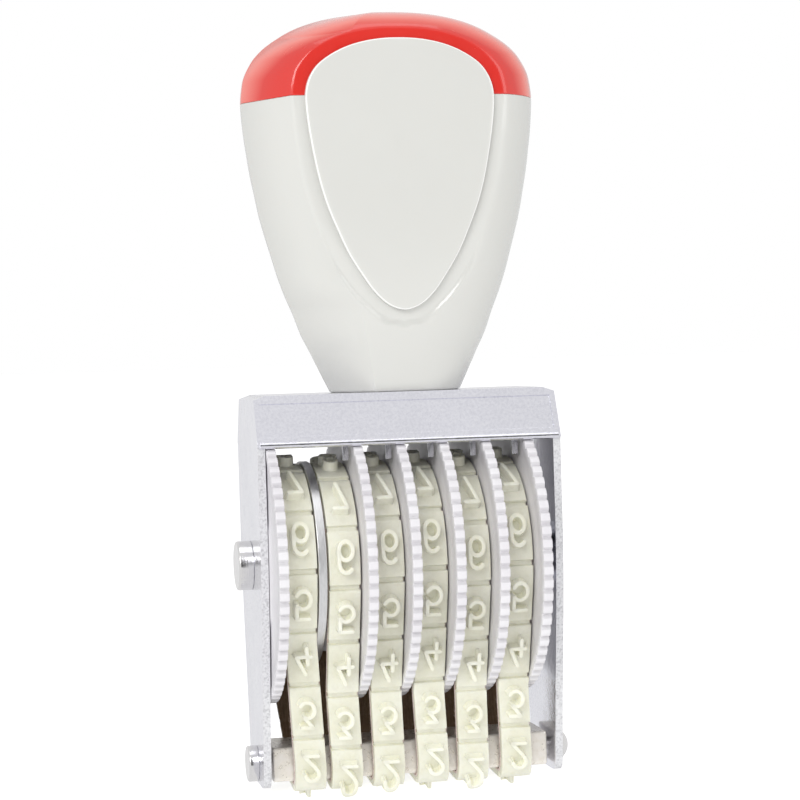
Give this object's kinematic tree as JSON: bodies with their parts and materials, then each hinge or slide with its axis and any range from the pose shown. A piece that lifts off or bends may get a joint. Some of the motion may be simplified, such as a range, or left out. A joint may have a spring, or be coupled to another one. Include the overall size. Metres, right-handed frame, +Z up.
{
  "type": "numbering machine",
  "caption": "Hand numbering stamp with endless rubber number bands on toothed finger wheels in a plated sheet-metal yoke, with a moulded two-colour grip on top.",
  "frame": {"origin": "centre of the bounding box in plan, on the plane of the raised printing faces", "axes": "+Z up along the grip, X along the axle (wheels side by side), front is -Y"},
  "size_m": [0.0532, 0.0436, 0.1239],
  "materials": {
    "nickel_plate": "bright nickel plate, fine orange peel on the aprons",
    "nickel_steel": "bright nickel plated turned parts",
    "warm_nickel": "fine ground, nickel plated",
    "zinc_steel": "zinc plated",
    "spring_steel": "bright spring steel",
    "separator_steel": "satin steel",
    "white_plastic": "glossy white moulded plastic",
    "red_plastic": "glossy red moulded plastic",
    "wheel_plastic": "white moulded plastic",
    "ivory_rubber": "ivory moulded rubber",
    "woven_backing": "brown woven cotton"
  },
  "bodies": {
    "body": {"frame_yoke": "nickel_plate", "handle_body": "white_plastic", "handle_cap": "red_plastic", "handle_shield_front": "white_plastic", "handle_shield_rear": "white_plastic", "index_spring_comb": "spring_steel", "handle_washer": "zinc_steel", "handle_screw": "zinc_steel", "axle": "nickel_steel", "axle_retainer": "nickel_steel", "axle_washer_right": "zinc_steel", "spring_washer": "spring_steel", "separator_disc": "separator_steel", "foot_bar": "warm_nickel", "foot_bolt": "nickel_steel", "foot_nut": "nickel_steel", "number_band_1": "ivory_rubber", "number_band_2": "ivory_rubber", "number_band_3": "ivory_rubber", "number_band_4": "ivory_rubber", "number_band_5": "ivory_rubber", "number_band_6": "ivory_rubber", "band_backing_1": "woven_backing", "band_backing_2": "woven_backing", "band_backing_3": "woven_backing", "band_backing_4": "woven_backing", "band_backing_5": "woven_backing", "band_backing_6": "woven_backing"},
    "wheel_1": {"number_wheel_1": "wheel_plastic"},
    "wheel_2": {"number_wheel_2": "wheel_plastic"},
    "wheel_3": {"number_wheel_3": "wheel_plastic"},
    "wheel_4": {"number_wheel_4": "wheel_plastic"},
    "wheel_5": {"number_wheel_5": "wheel_plastic"},
    "wheel_6": {"number_wheel_6": "wheel_plastic"}
  },
  "joints": [
    {"name": "wheel_1_turn", "type": "hinge", "parent": "body", "child": "wheel_1", "pos_m": [0, 0, 0.0369], "axis": [1, 0, 0], "continuous": true},
    {"name": "wheel_2_turn", "type": "hinge", "parent": "body", "child": "wheel_2", "pos_m": [0, 0, 0.0369], "axis": [1, 0, 0], "continuous": true},
    {"name": "wheel_3_turn", "type": "hinge", "parent": "body", "child": "wheel_3", "pos_m": [0, 0, 0.0369], "axis": [1, 0, 0], "continuous": true},
    {"name": "wheel_4_turn", "type": "hinge", "parent": "body", "child": "wheel_4", "pos_m": [0, 0, 0.0369], "axis": [1, 0, 0], "continuous": true},
    {"name": "wheel_5_turn", "type": "hinge", "parent": "body", "child": "wheel_5", "pos_m": [0, 0, 0.0369], "axis": [1, 0, 0], "continuous": true},
    {"name": "wheel_6_turn", "type": "hinge", "parent": "body", "child": "wheel_6", "pos_m": [0, 0, 0.0369], "axis": [1, 0, 0], "continuous": true}
  ]
}
